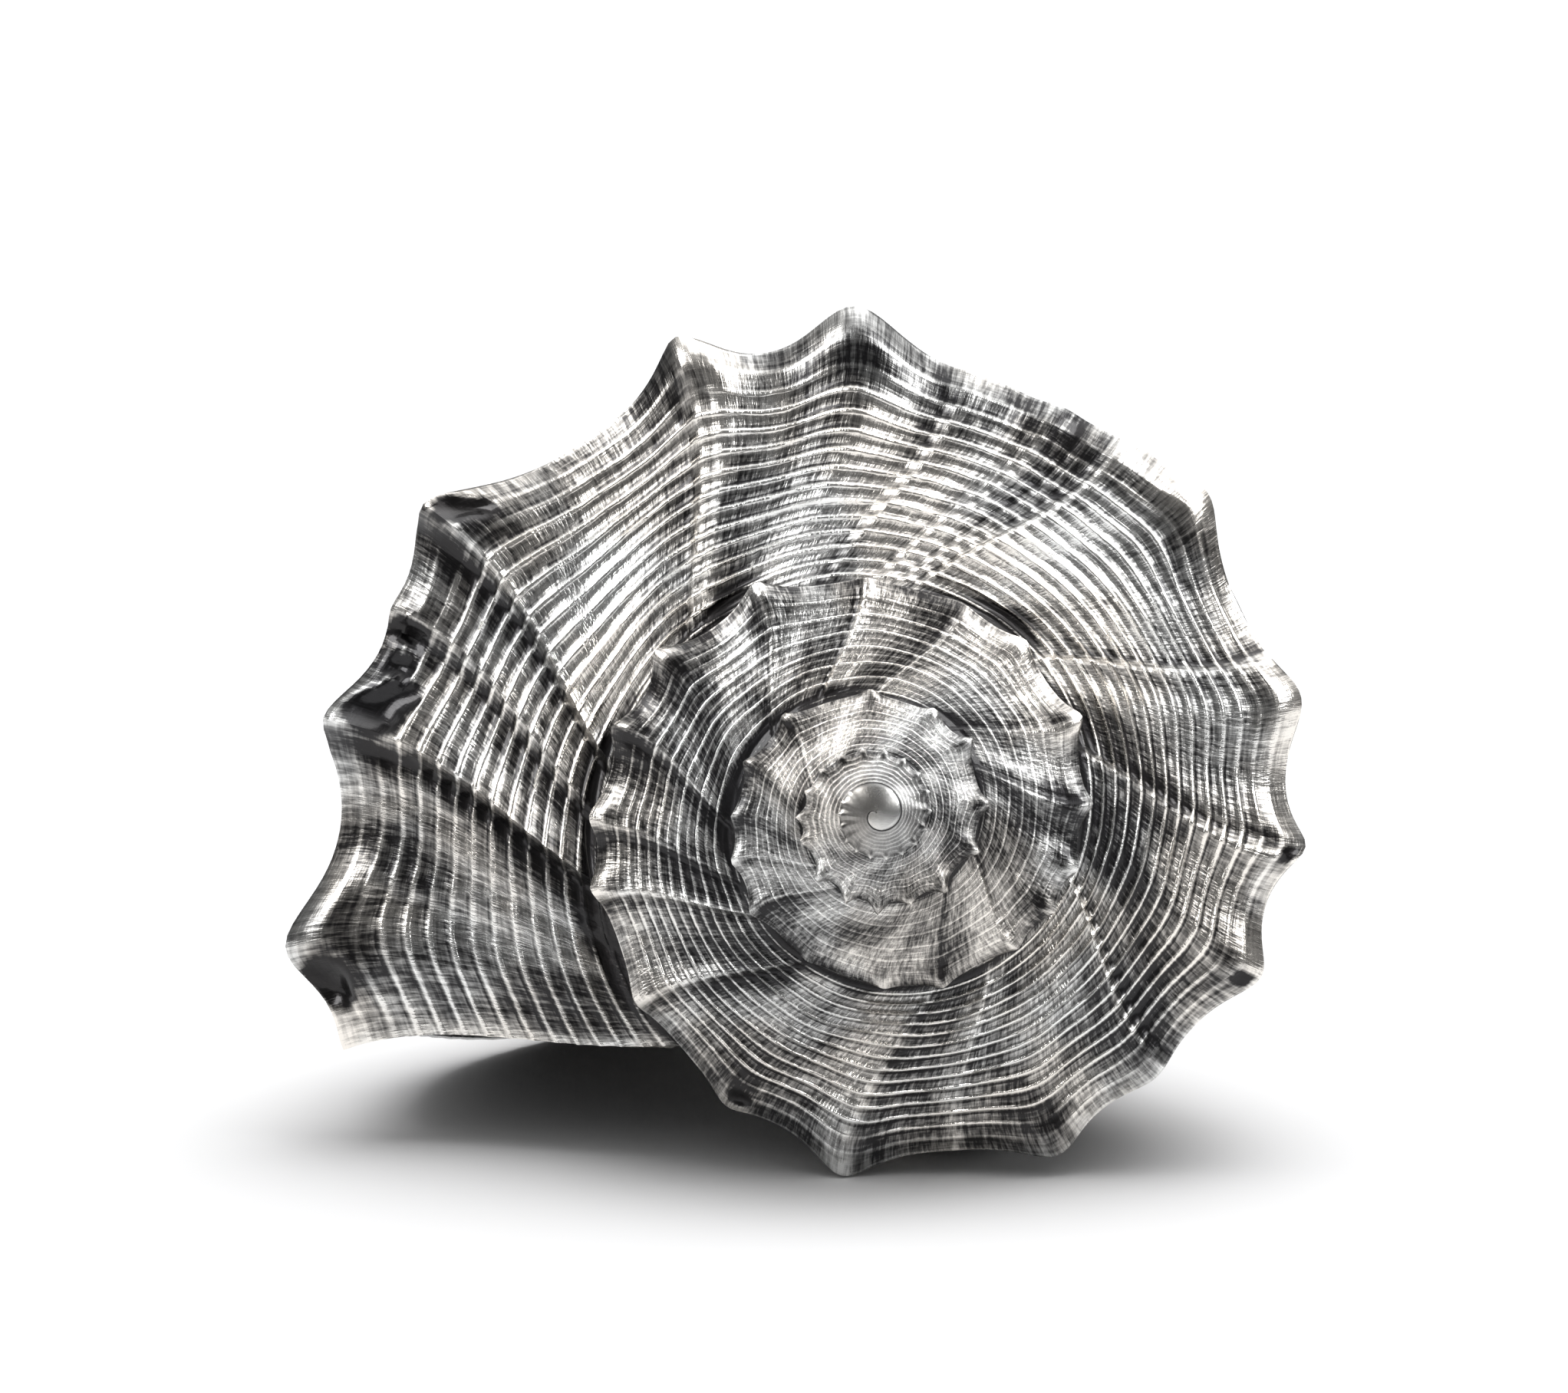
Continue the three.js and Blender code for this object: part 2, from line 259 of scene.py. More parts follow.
def knobReach(angle):
    # pointed at the shoulder, the broad swelling that leads up to each knob, and how near the tip is
    reach = np.zeros_like(angle)
    swelling = np.zeros_like(angle)
    near = np.zeros_like(angle)
    for at, size, blunt in knobs:
        away = np.sqrt((angle - at) ** 2 + blunt ** 2) - blunt
        reach += size * np.exp(-away / relief["knobHalfWidth"])
        swelling += size * np.exp(-((angle - at) / relief["swellingWidth"]) ** 2)
        near = np.maximum(near, min(1, size / 0.07) * np.exp(-((angle - at) / (1.6 + 0.7 * blunt)) ** 2))
    return reach, swelling, near


def dented(angle, cord):
    # how deep the hollows in the knobs are, and how far into one this place is
    depth = np.zeros_like(angle)
    inside = np.zeros_like(angle)
    for at, middle, width, across, size in dents:
        away = ((angle - at) / width) ** 2 + ((cord - middle) / across) ** 2
        depth += size * np.exp(-(away ** 2))
        inside = np.maximum(inside, np.exp(-(away / 1.3) ** 3))
    return depth, inside


def heaped(angle, places):
    # the sum of bell shapes round the shell
    return sum(amount * np.exp(-((angle - at) / width) ** 2) for at, width, amount in places)


def cordRelief(angle, cord):
    # how high the cords stand, and how near this place is to the crest of one
    number = np.round(cord)
    crest = np.exp(-((cord - number) / relief["cordWidth"]) ** 2)
    swell = 0.5 + 0.5 * np.cos(2 * math.pi * cord)
    fade = (1 - 0.7 * smoothStep(*relief["lowCords"], cord)) * (0.45 + 0.55 * smoothStep(0, 3, cord))
    rough = relief["roughCords"] * heaped(angle, relief["roughZones"]) * softNoise(angle / 2.2, number, 5)
    uneven = 1 + 0.3 * softNoise(angle / 9, number, 3) + rough
    return fade * uneven * (relief["cordHeight"] * crest + relief["cordSwell"] * swell), crest * fade


def cordStrength(angle, cord, t, near):
    # how much of the cords is left: none on the first whorl, little on the knobs' tips
    turns = turnsAt(angle)
    offKnobs = 1 - 0.85 * near * smoothStep(0.78, 0.9, t)
    strength = stage("cords", turns) * offKnobs * (1 - heaped(angle, faintCords))
    # every other cord is faint before the last whorl
    odd = 0.5 - 0.5 * np.cos(math.pi * cord)
    return strength * (1 - 0.7 * odd * stage("alternateCords", turns))


def ledgeRelief(angle):
    # height of the ledges, and how near this place is to the painted highlight along a ledge's edge and to
    # the painted shade at its foot
    height = np.zeros_like(angle)
    edge = np.zeros_like(angle)
    shade = np.zeros_like(angle)
    for at, size in ledges:
        size = size * relief["ledgeHeight"]
        past = angle - at
        young = 0.5 + 0.5 * np.tanh(past / relief["ledgeSharp"])
        old = np.exp(-np.abs(past) / relief["ledgeOld"]) * (1 - young)
        foot = np.exp(-np.abs(past) / relief["ledgeYoung"]) * young
        height += size * (old - relief["ledgeFoot"] * foot)
        edge += size * relief["ledgeShine"] * np.exp(-(past + relief["ledgeSharp"]) ** 2)
        shade += size * relief["ledgeDark"] * np.exp(-np.clip(past, 0, 90) / relief["ledgeDarkOver"]) * young
    return height, np.clip(edge, 0, 1), np.clip(shade, 0, 1)


def wrinkleRelief(angle, cord):
    size = relief["wrinkle"] + heaped(angle, relief["roughZones"])
    return size * sum(share * softNoise(angle / along, cord / across, seed)
                      for along, across, share, seed in relief["wrinkleSizes"])


def foldRelief(angle, t):
    across = relief["foldWidth"]
    folds = 0.8 * softNoise(angle / across, t * 1.5, 21) + 0.2 * softNoise(2.3 * angle / across, t * 2, 22)
    return relief["fold"] * folds * smoothStep(0.08, 0.45, t) * (1 - 0.75 * smoothStep(0.8, 1, t))


def plateToneAndPaintedLightAt(angle, cord):
    # above a half where the plate is brighter than elsewhere, and below where it is darker
    tone = np.full_like(angle, 0.5)
    for at, width, middle, across, amount in plateToneAndPaintedLight:
        tone = tone + amount * np.exp(-((angle - at) / width) ** 2 - ((cord - middle) / across) ** 2)
    return np.clip(tone, 0, 1)


def suturePoint(angle):
    # the first whorl lies almost flush with the next
    radius = radiusAt(angle)
    step = 0.15 + 0.85 * stage("suture", turnsAt(angle))
    inset = (1 - spiral["sutureRadius"]) * step
    drop = (spiral["sutureDepth"] - spiral["shoulderDepth"]) * step
    return (1 - inset) * radius, -(spiral["shoulderDepth"] + drop) * radius


def knobRelief(angle, t):
    # how far a knob stands out and up here, how near its tip is, and how near the hollow behind the tip
    turns = turnsAt(angle)
    reach, swelling, near = knobReach(angle)
    size = stage("knobs", turns) * (1 + 0.5 * stage("largeKnobs", turns))
    knob = (reach * t ** 8 + relief["swelling"] * swelling * t ** 3 * (1 - t ** 6)) * size
    spoon = near * np.exp(-((t - relief["edgeFrom"]) / 0.07) ** 2)
    lift = (relief["knobLift"] + 0.3 * stage("raisedKnobs", turns)) * knob
    rounding = np.clip((t - relief["edgeFrom"]) / (1 - relief["edgeFrom"]), 0, 1) ** 2
    edgeDrop = (relief["edgeRound"] + relief["knobDroop"] * knob) * rounding
    return knob, lift - relief["knobSpoon"] * reach * spoon * size - edgeDrop, near, spoon


def rampWearAndPaintedLight(angle, cord, t, seam, near, spoon, crest, inside):
    # how bright the ramp is and how dark: wear, tarnish, painted highlights and painted shade
    turns = turnsAt(angle)
    _, edge, shade = ledgeRelief(angle)
    older = stage("brightRims", turns)
    # painted highlight on the rounded rim and the knobs' tips, along with their wear, and on the ledges'
    # edges
    rim = smoothStep(0.9, 0.98, t) * (wearAndPaintedLight["rim"] + wearAndPaintedLight["olderRim"] * older + wearAndPaintedLight["knobRim"] * near)
    lip = smoothStep(spiral["lipAngle"] - 1.6, spiral["lipAngle"] - 0.4, angle)
    bright = np.clip(wearAndPaintedLight["crest"] * crest + wearAndPaintedLight["ledgeEdge"] * edge + rim + wearAndPaintedLight["lip"] * lip, 0, 1)
    # painted shade in the seam between the whorls, between the knobs, in the dents and at the ledges' feet;
    # tarnish behind the knobs
    black = stage("blackSeam", turns)
    gap = seam * smoothStep(1.2 + 2.6 * seam, 0.4 + 2 * seam, cord) * black
    firstGap = wearAndPaintedLight["firstSeam"] * smoothStep(1.3, 0.3, cord) * (1 - black)
    betweenKnobs = wearAndPaintedLight["betweenKnobs"] * (1 - near) * smoothStep(0.9, 1, t) * older
    behindKnob = wearAndPaintedLight["behindKnob"] * spoon * (1 + 1.4 * softNoise(angle / 1.7, t * 3, 33))
    dark = wearAndPaintedLight["ledgeShade"] * shade + gap + firstGap + betweenKnobs + behindKnob + wearAndPaintedLight["inDent"] * inside
    return bright * (1 - inside), np.clip(dark, 0, 1)


def rampPoint(angle, cord):
    # a growth line's angle and a cord's number, to angle, radius and height, and how bright, dark and corded
    turns = turnsAt(angle)
    middle = np.sin(math.pi * cord / relief["cords"])
    wandered = cord + relief["cordWander"] * middle * softNoise(angle / 17, cord / 5, 2)
    t = (wandered / relief["cords"]) ** relief["cordSpread"]
    lead = spiral["sutureLead"] * (1 - t) ** 2
    bowed = smoothStep(spiral["lipAngle"] - relief["lipBowOver"], spiral["lipAngle"], angle)
    bow = relief["lipBow"] * middle * bowed
    radius = radiusAt(angle + lead)
    inner, innerHeight = suturePoint(angle + lead - 360)

    seam = relief["seam"] + relief["olderSeam"] * stage("olderSeam", turns) + heaped(angle, deepSeams)
    across = t / relief["channelAt"]
    deepest = relief["sutureChannel"] * (0.45 + 0.75 * seam) * stage("channel", turns)
    channel = deepest * across * np.exp(1 - across)
    sag = relief["sag"] * stage("sag", turns) * np.sin(math.pi * t)
    knob, lift, near, spoon = knobRelief(angle, t)
    dent, inside = dented(angle, cord)

    grown = stage("cords", turns)
    strength = cordStrength(angle, cord, t, near) * (1 - inside)
    cords, crest = cordRelief(angle, cord)
    cords = cords * (0.3 * grown + 0.7 * strength) * (1 - 0.45 * stage("lowCords", turns))
    free = smoothStep(0, 0.05, t) * grown  # the fine relief fades at the suture and on the first whorl
    detail = free * (cords + wrinkleRelief(angle, cord) * stage("wrinkles", turns))
    waves = free * (ledgeRelief(angle)[0] * smoothStep(0, 0.2, t) + foldRelief(angle, t)) - dent

    out = inner + (radius - inner) * t
    down = innerHeight + (-spiral["shoulderDepth"] * radius - innerHeight) * t
    bright, dark = rampWearAndPaintedLight(angle, cord, t, seam, near, spoon, crest * strength, inside)
    corded = strength * (1 - 0.6 * smoothStep(12.8, 15.8, cord)) * (1 - 0.4 * stage("duskyCords", turns))
    # cords stand out square to the ramp, and folds, ledges and dents go straight up and down
    outward, upward = relief["slope"]
    out = out + (relief["knobOut"] * knob + outward * detail) * radius
    down = down + (lift + upward * detail + waves - channel - sag) * radius
    return angle + lead + bow, out, down, bright, dark, corded


def underPoint(angle, share):
    # the rounded edge of the shoulder and its knobs, back in to the suture
    cords = np.full_like(angle, relief["cords"])
    _, startRadius, startHeight, bright, _, corded = rampPoint(angle, cords)
    endRadius, endHeight = suturePoint(angle)
    bendOut, bendUp = relief["underBend"]
    bendRadius = endRadius + bendOut * (startRadius - endRadius) + 0.012 * radiusAt(angle)
    bendHeight = endHeight + bendUp * (startHeight - endHeight)
    start, bend, end = (1 - share) ** 2, 2 * share * (1 - share), share ** 2
    radius = start * startRadius + bend * bendRadius + end * endRadius
    height = start * startHeight + bend * bendHeight + end * endHeight
    # painted shade on the underside of the shoulder
    dark = wearAndPaintedLight["underShoulder"] * smoothStep(0.2, 1, share)
    return angle, radius, height, bright * start, dark, 0.5 * corded


def flankShare(depth):
    # the flank's radius at this depth: bulging just below the suture, then drawn in towards the canal
    above = (spiral["bulgeDepth"] - depth) / (spiral["bulgeDepth"] - spiral["sutureDepth"])
    upper = 1 - (1 - spiral["sutureRadius"]) * above ** 2
    below = np.maximum(depth - spiral["bulgeDepth"], 0) / spiral["flankHalf"]
    lower = spiral["flankLeast"] + (1 - spiral["flankLeast"]) / (1 + below ** spiral["flankPower"])
    return np.where(depth < spiral["bulgeDepth"], upper, lower)


def leadAt(depth):
    # how far a growth line on the flank runs ahead of its place at the suture
    return spiral["flankLead"] * smoothStep(spiral["flankLeadFrom"], spiral["flankLeadTo"], depth)


def flankPoint(angle, share):
    # the flank below the suture and the canal, by growth line angle and share of the way down
    radius = np.maximum(radiusAt(angle), 1e-6)
    top = -spiral["sutureDepth"] * radius
    height = top + (-spiral["length"] - top) * share ** spiral["flankSpread"]
    depth = -height / radius
    belowSuture = smoothStep(spiral["sutureDepth"], spiral["bulgeDepth"], depth)
    fuller = heaped(angle, relief["fullFlank"]) * belowSuture
    body = radius * flankShare(depth) * (1 + fuller)
    canal = spiral["canalRadius"] + spiral["canalWidens"] * (1 + height / spiral["length"]) * share
    underKnob = np.exp(-share * 14) * (1 - np.exp(-share * 40))
    knob = relief["flankKnob"] * knobReach(angle)[0] * radius * underKnob
    cord = share * relief["flankRows"] / 2
    crest = 1 - 2 * np.abs(cord - np.round(cord))
    ledge, edge, shade = ledgeRelief(angle)
    fade = np.sin(math.pi * np.clip(share * 12, 0, 0.5)) * (1 - 0.6 * share)
    detail = radius * fade * (relief["flankCord"] * crest + 0.5 * ledge + 0.8 * wrinkleRelief(angle, cord))
    toTip = np.clip((share - relief["canalTip"]) / (1 - relief["canalTip"]), 0, 1)
    tapered = np.sqrt(1 - 0.8 * toTip ** 2)
    flankRadius = ((body ** 4 + canal ** 4) ** 0.25 + detail) * tapered + knob
    # painted shade on the flank just under the shoulder and at the ledges' feet, and a painted highlight
    # along the ledges' edges
    dark = np.clip(0.6 - share * 25, 0, 1) + 0.5 * shade
    bright = np.clip(wearAndPaintedLight["flankCrest"] * crest + wearAndPaintedLight["flankEdge"] * edge, 0, 1) * fade
    corded = np.full_like(angle, relief["flankCorded"])
    return angle + leadAt(depth), flankRadius, height, bright, dark, corded


def polar(angle, radius, height):
    # degrees, radius and height to a point, with the tip rounded off
    turn = np.radians(angle)
    tip = np.clip(1 - radius / relief["nucleus"], 0, 1)
    onTip = height > relief["nucleusFloor"]
    height = height - spiral["shoulderDepth"] / 2 * relief["nucleus"] * tip ** 2 * onTip
    return np.stack([radius * np.cos(turn), radius * np.sin(turn), height], axis=-1)


toPart = (Matrix.Translation(Vector(spiral["apex"]) * millimetre)
          @ Matrix.Rotation(math.radians(90 - spiral["tilt"]), 4, "X") @ Matrix.Scale(millimetre, 4))

# The mesh, turn by turn: degrees from the lip where each stretch starts and ends, its step in degrees, and
# its step in rows
stretches = [(-360, 0, 1, 1), (-720, -360, 1, 2), (-1080, -720, 2, 2), (-1872, -1080, 4, 4)]
shoulderRow = relief["cords"] * len(relief["rowsPerCord"])
lastRow = shoulderRow + relief["underRows"]
leadColumns = int(spiral["sutureLead"])  # one column a degree


def addSheet(bm, firstColumn, lastColumn, columnStep, rows, rowStep, level):
    # a flat grid, one unit a degree and a row, at a level that tells ramp (0) from flank (1)
    columns = lastColumn - firstColumn
    made = bmesh.ops.create_grid(bm, x_segments=columns // columnStep, y_segments=rows // rowStep, size=0.5)
    across = Matrix.Diagonal((columns, rows, 1, 1))
    place = Matrix.Translation(((firstColumn + lastColumn) / 2, rows / 2, level)) @ across
    bmesh.ops.transform(bm, matrix=place, verts=made["verts"])
    return made["verts"]


def joinToCoarser(bm, verts, isOdd, towards):
    # corners that the coarser neighbour lacks are moved onto the next one, so that the seam closes
    at = {(round(v.co.x), round(v.co.y)): v for v in verts}
    targets = {}
    for (x, y), v in at.items():
        if isOdd(x, y):
            targets[v] = at[(x + towards[0], y + towards[1])]
    bmesh.ops.weld_verts(bm, targetmap=targets)


def layOutSheets():
    bm = bmesh.new()
    for first, last, columnStep, rowStep in stretches:
        verts = addSheet(bm, first, last, columnStep, lastRow, rowStep, 0)
        coarserFrom = last - leadColumns  # beyond it the suture meets the next, coarser stretch
        if rowStep == 1:
            joinToCoarser(bm, verts, lambda x, y: x == first and y % 2, (0, -1))
        if columnStep == 1 and rowStep == 2:
            joinToCoarser(bm, verts, lambda x, y: y == 0 and x < coarserFrom and x % 2, (-1, 0))
        if columnStep == 2:
            joinToCoarser(bm, verts, lambda x, y: x == first and y % 4, (0, -2))
            verts = [v for v in verts if v.is_valid]
            joinToCoarser(bm, verts, lambda x, y: y == 0 and x < coarserFrom and x % 4, (-2, 0))
    addSheet(bm, leadColumns - 360, 0, 1, relief["flankRows"], 1, 1)
    mesh = bpy.data.meshes.new("shell")
    bm.to_mesh(mesh)
    bm.free()
    return mesh


def bendSheets(mesh):
    # every flat corner goes to its place on the shell, with its growth coordinates and its patina and
    # painted light: wear, tarnish, painted highlights and painted shade
    flat = np.empty(len(mesh.vertices) * 3)
    mesh.vertices.foreach_get("co", flat)
    flat = flat.reshape(-1, 3)
    angle = flat[:, 0] + spiral["lipAngle"]
    row = np.round(flat[:, 1]).astype(int)
    onFlank = flat[:, 2] > 0.5
    cordAt = [k + part for k in range(relief["cords"]) for part in relief["rowsPerCord"]]
    cord = np.array([*cordAt, relief["cords"]])[np.minimum(row, shoulderRow)]
    share = np.clip((row - shoulderRow) / relief["underRows"], 0, 1)
    ramp = np.stack(rampPoint(angle, cord))
    under = np.stack(underPoint(angle, share))
    flank = np.stack(flankPoint(angle, np.where(onFlank, row / relief["flankRows"], 0)))
    placed = np.where(onFlank, flank, np.where(row > shoulderRow, under, ramp))
    suture = (row == 0) & ~onFlank
    seam = np.where(suture, angle + spiral["sutureLead"] - 360, angle)
    seamRadius, seamHeight = suturePoint(seam)
    atSeam = suture | ((row == lastRow) & ~onFlank) | ((row == 0) & onFlank)
    placed[0] = np.where(atSeam, seam, placed[0])
    placed[1] = np.where(atSeam, seamRadius, placed[1])
    placed[2] = np.where(atSeam, seamHeight, placed[2])
    points = polar(placed[0], placed[1], placed[2])
    turned = points @ np.array(toPart.to_3x3()).T + np.array(toPart.translation)
    mesh.vertices.foreach_set("co", turned.ravel())

    corners = np.empty(len(mesh.loops), int)
    mesh.loops.foreach_get("vertex_index", corners)
    underCords = relief["underCords"]
    across = np.where(onFlank, relief["cords"] + underCords + row / 2, cord + underCords * share)
    growth = np.stack([flat[:, 0] / 360, across], axis=-1)[corners]
    mesh.uv_layers.new(name="growth").data.foreach_set("uv", growth.ravel())
    tone = plateToneAndPaintedLightAt(angle, np.where(onFlank, relief["cords"] + row / 2, cord))
    patinaAndPaintedLight = np.stack([placed[3], placed[4], tone, placed[5]], axis=-1)
    mesh.color_attributes.new("patinaAndPaintedLight", "FLOAT_COLOR", "POINT").data.foreach_set("color", patinaAndPaintedLight.ravel())


def weldShell(mesh):
    bm = bmesh.new()
    bm.from_mesh(mesh)
    bmesh.ops.remove_doubles(bm, verts=bm.verts, dist=relief["weldDistance"])
    # the aperture and the canal's end are closed, and the chamber is cut out of this afterwards
    rim = [e for e in bm.edges if e.is_boundary]
    print("open edges after welding", len(rim), "loose", sum(not e.link_faces for e in bm.edges))
    filled = bmesh.ops.holes_fill(bm, edges=rim, sides=0)
    bmesh.ops.triangulate(bm, faces=filled["faces"], ngon_method="BEAUTY")
    bmesh.ops.recalc_face_normals(bm, faces=bm.faces)
    bm.to_mesh(mesh)
    print("edges not shared by two faces", sum(len(e.link_faces) != 2 for e in bm.edges))
    print("volume cm3", bm.calc_volume() * 1e6)
    bm.free()


# The chamber inside the whorl and the gutter down the canal, cut out of the closed shape.
hollow = {
    "wallAtLip": 1.1,
    "wallInside": 2.4,
    "thickensOver": 60.0,  # degrees behind the lip
    "columella": 0.17,
    "glaze": 0.01,
    "deepest": 300,  # degrees behind the lip
    "rampRows": (0.1, 0.3, 0.5, 0.7, 0.88),
    "flankRows": 9,
    "columellaRows": 9,
    "floor": -2.3,  # of the chamber, as a share of the radius
    "past": 40,  # degrees that the cut runs on past the lip
    "step": 8,
    "shoulderInset": 0.985,
    "roofWalls": 1.8,  # walls' thickness left between the chamber and the whorl inside it
    "weldDistance": 1e-7,  # in metres
    # height, distance of the bottom from the axis, half width inside, half width at the mouth
    "gutter": (
        (-92, 13.5, 3.4, 3.0), (-104, 11.5, 4.2, 3.8), (-116, 8.6, 4.6, 3.9), (-134, 5.6, 4.4, 3.4),
        (-162, 4.0, 4.2, 3.2),
    ),
    "gutterMouth": 28,  # distance from the axis, outside the shell, where the gutter's cut ends
    "patinaAndPaintedLight": (0.1, 0.25, 0.5, 0),  # of the walls inside, as the outside's attribute has it
}


def chamberRing(angle):
    # the chamber's outline at one growth line: inside the ramp and the flank, then back up the columella
    angle = np.array(float(angle))
    radius = radiusAt(angle)
    behind = np.clip((spiral["lipAngle"] - angle) / hollow["thickensOver"], 0, 1)
    thickness = hollow["wallAtLip"] + (hollow["wallInside"] - hollow["wallAtLip"]) * behind
    wall = thickness * radius / spiral["shoulderRadius"]
    outer = []
    for t in hollow["rampRows"]:
        cord = np.array(relief["cords"] * t ** (1 / relief["cordSpread"]))
        outer.append(tuple(rampPoint(angle, cord)[:3]))
    outer.append((angle, hollow["shoulderInset"] * radius, -(spiral["shoulderDepth"] + 0.02) * radius))
    top, floor = -spiral["sutureDepth"] * radius, hollow["floor"] * radius
    for k in range(1, hollow["flankRows"] + 1):
        height = top + (floor - top) * k / hollow["flankRows"]
        depth = -height / radius
        outer.append((angle + leadAt(depth), radius * flankShare(depth), height))
    ring = []
    for k, (at, out, height) in enumerate(outer):
        before, after = outer[max(0, k - 1)], outer[min(len(outer) - 1, k + 1)]
        along = Vector((after[1] - before[1], after[2] - before[2])).normalized()
        ring.append(polar(at, out + along.y * wall, height - along.x * wall))
    inner = radiusAt(angle + spiral["sutureLead"]) / spiral["growthPerTurn"]
    roof = -spiral["sutureDepth"] * inner - hollow["roofWalls"] * wall
    for k in range(hollow["columellaRows"]):
        height = floor + (roof - floor) * k / (hollow["columellaRows"] - 1)
        depth = -height / inner
        body = inner * flankShare(depth)
        at = angle + spiral["sutureLead"] + leadAt(depth)
        columella = (body ** 4 + (hollow["columella"] * radius) ** 4) ** 0.25
        ring.append(polar(at, columella + hollow["glaze"] * radius, height))
    return ring


def gutterRing(height, centre, half, mouth):
    # a round-bottomed slot that faces the middle of the aperture
    facing = spiral["lipAngle"] + spiral["sutureLead"] / 2 + leadAt(-height / spiral["shoulderRadius"])
    outline = [(hollow["gutterMouth"], -mouth), (hollow["gutterMouth"], mouth)]
    for turn in np.linspace(math.pi / 2, math.pi * 1.5, 9):
        outline.append((centre + half * math.cos(turn), half * math.sin(turn)))
    turned = Matrix.Rotation(math.radians(facing), 3, "Z")
    return [turned @ Vector((along, side, height)) for along, side in outline]


def loftCutter(name, rings):
    # a sheet laid through the rings, its long seam welded and both ends capped
    bm = bmesh.new()
    around = len(rings[0])
    growth = bm.loops.layers.uv.new("growth")
    patinaAndPaintedLight = bm.verts.layers.float_color.new("patinaAndPaintedLight")
    sheet = bmesh.ops.create_grid(bm, x_segments=len(rings) - 1, y_segments=around, size=0.5)["verts"]
    for face in bm.faces:
        for corner in face.loops:
            flat = corner.vert.co
            corner[growth].uv = (-(flat.x + 0.5) * hollow["deepest"] / 360, (flat.y + 0.5) * around)
    for v in sheet:
        ring, k = round((v.co.x + 0.5) * (len(rings) - 1)), round((v.co.y + 0.5) * around)
        v.co = toPart @ Vector(rings[ring][k % around])
        v[patinaAndPaintedLight] = hollow["patinaAndPaintedLight"]
    bmesh.ops.remove_doubles(bm, verts=bm.verts, dist=hollow["weldDistance"])
    bmesh.ops.holes_fill(bm, edges=[e for e in bm.edges if e.is_boundary], sides=0)
    bmesh.ops.recalc_face_normals(bm, faces=bm.faces)
    made = bpy.data.meshes.new(name)
    bm.to_mesh(made)
    bm.free()
    cutter = bpy.data.objects.new(name, made)
    bpy.context.collection.objects.link(cutter)
    return cutter


def cutAway(piece, cutters):
    for cutter in cutters:
        cut = piece.modifiers.new(cutter.name, "BOOLEAN")
        cut.operation = "DIFFERENCE"
        cut.solver = "MANIFOLD"
        cut.object = cutter
    seen = piece.evaluated_get(bpy.context.evaluated_depsgraph_get())
    carved = bpy.data.meshes.new_from_object(seen)
    piece.modifiers.clear()
    piece.data = carved
    for cutter in cutters:
        bpy.data.objects.remove(cutter)


mesh = layOutSheets()
bendSheets(mesh)
weldShell(mesh)
shell = bpy.data.objects.new("silverShell", mesh)
bpy.context.collection.objects.link(shell)
cutDegrees = range(0, hollow["deepest"] + hollow["past"] + 1, hollow["step"])
chamberRings = [chamberRing(spiral["lipAngle"] + hollow["past"] - behind) for behind in cutDegrees]
gutterRings = [gutterRing(*station) for station in hollow["gutter"]]
cutAway(shell, [loftCutter("chamber", chamberRings), loftCutter("gutter", gutterRings)])
mesh = shell.data
mesh.shade_smooth()
mesh.set_sharp_from_angle(angle=math.radians(relief["sharpAngle"]))
triangles = sum(len(p.vertices) - 2 for p in mesh.polygons)
print("shell carved", len(mesh.polygons), "faces", triangles, "triangles")

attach(shell, "root")
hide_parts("shell")

silver = {
    "bright": (0.92, 0.9, 0.865),
    "dark": (0.022, 0.021, 0.022),
    "warm": (1.0, 0.972, 0.94),
    "cool": (0.955, 0.978, 1.0),
    "roughBright": 0.22,
    "roughDark": 0.32,
    "coat": 0.4,
    "coatRoughness": 0.13,
    # how often each pattern repeats in a turn of the lip's size, and from cord to cord
    "growthLines": (620, 0.55),
    "fineLines": (1700, 1.3),
    "threads": (120, 6.0),
    "bands": (34, 0.1),
    "bumpDepth": 0.000045,
    "blotchScale": 75.0,
    "lineGrowth": 0.6,  # a turn has two to this power times the lines of the one before, and twice its size
    "crestEdge": (0.06, 0.17),  # from the cord's middle, in cords
    "grooveAt": 0.27,
    "grooveEdge": (0.02, 0.14),
    "smoothTip": (-4.2, -2.6),  # turns from the lip between which the streaks come in
    "palerCrests": (-2.1, -0.9),  # and between which the crests reach their full brightness
    "contrast": 1.6,
}


def addNode(tree, kind, values=None, **settings):
    # a node with its settings, and its inputs given as numbers or as the outputs that feed them
    node = tree.nodes.new(kind)
    for name, value in settings.items():
        setattr(node, name, value)
    for name, value in (values or {}).items():
        if isinstance(value, bpy.types.NodeSocket):
            tree.links.new(value, node.inputs[name])
        else:
            node.inputs[name].default_value = value
    return node


def compute(tree, operation, *values, clamp=False):
    node = addNode(tree, "ShaderNodeMath", dict(enumerate(values)), operation=operation, use_clamp=clamp)
    return node.outputs[0]


def remap(tree, value, low, high, toLow=0.0, toHigh=1.0):
    values = {"Value": value, "From Min": low, "From Max": high, "To Min": toLow, "To Max": toHigh}
    return addNode(tree, "ShaderNodeMapRange", values, interpolation_type="SMOOTHSTEP").outputs[0]


def mixColours(tree, factor, first, second, blend="MIX"):
    values = {"Factor": factor, "A": first, "B": second}
    return addNode(tree, "ShaderNodeMix", values, data_type="RGBA", blend_type=blend).outputs["Result"]


